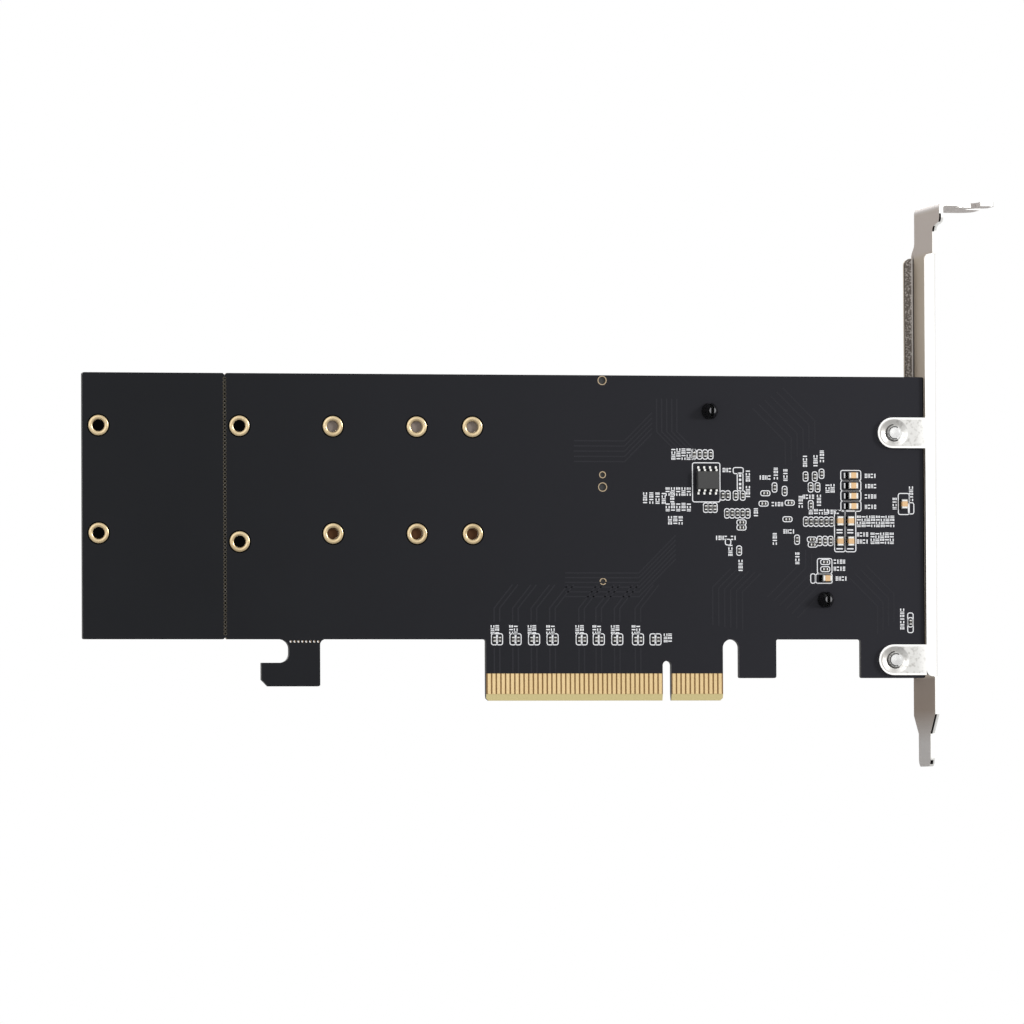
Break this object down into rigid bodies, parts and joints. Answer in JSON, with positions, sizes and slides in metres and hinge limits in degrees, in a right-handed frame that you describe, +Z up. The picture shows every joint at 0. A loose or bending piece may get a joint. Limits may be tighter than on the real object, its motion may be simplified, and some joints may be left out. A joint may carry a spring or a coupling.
{
  "type": "dual solid-state drive adapter card",
  "caption": "Expansion card with an edge connector and steel slot bracket that carries M.2 solid-state drives behind a switch chip with a heat sink.",
  "frame": {"origin": "middle of the key notch, on the lower edge of the connector tongue and in the middle of the board's thickness", "axes": "+X towards the slot bracket, +Y from the solder side to the component side, +Z up out of the host's slot"},
  "size_m": [0.1959, 0.0244, 0.12],
  "materials": {
    "board_mask": "black solder mask, satin",
    "contact_gold": "gold plating, polished",
    "bracket_steel": "bright zinc plating, smooth",
    "screw_steel": "bright plated steel",
    "black_screw": "black oxide steel",
    "black_nylon": "black nylon, moulded",
    "socket_plastic": "black moulded plastic",
    "tin": "tinned, dull",
    "mould_compound": "dark grey epoxy, fine texture",
    "substrate": "dark laminate, satin",
    "lid_nickel": "matt nickel",
    "pad_grey": "soft silicone pad",
    "sink_aluminium": "black anodised",
    "capacitor_ceramic": "tan ceramic, satin",
    "resistor_ceramic": "dark glaze over ceramic",
    "ferrite": "pressed iron powder, grey",
    "lamp_lens": "pale moulded lens",
    "crystal_ceramic": "dark ceramic"
  },
  "bodies": {
    "root": {"circuit_board": "board_mask", "edge_contacts_solder_side": "contact_gold", "edge_contacts_component_side": "contact_gold", "drive_hole_platings": "contact_gold", "drive_standoffs": "black_screw", "drive_screws": "black_screw", "drive_socket_housing_upper": "socket_plastic", "drive_socket_housing_lower": "socket_plastic", "drive_socket_contacts_upper": "contact_gold", "drive_socket_contacts_lower": "contact_gold", "drive_socket_clips": "tin", "switch_solder_balls": "tin", "switch_chip_substrate": "substrate", "switch_chip_lid": "lid_nickel", "thermal_pad": "pad_grey", "heat_sink": "sink_aluminium", "push_pins": "black_nylon", "push_pin_springs": "screw_steel", "bracket": "bracket_steel", "bracket_screws": "screw_steel", "flash_chip_body": "mould_compound", "flash_chip_leads": "tin", "large_capacitor_bodies": "capacitor_ceramic", "large_capacitor_ends": "tin", "small_chips": "resistor_ceramic", "power_inductor": "ferrite", "regulator_chip": "mould_compound", "bulk_capacitor_bodies": "capacitor_ceramic", "bulk_capacitor_ends": "tin", "crystal_base_tray": "crystal_ceramic", "crystal_lid_cap": "lid_nickel", "activity_lamps": "lamp_lens"}
  },
  "joints": []
}
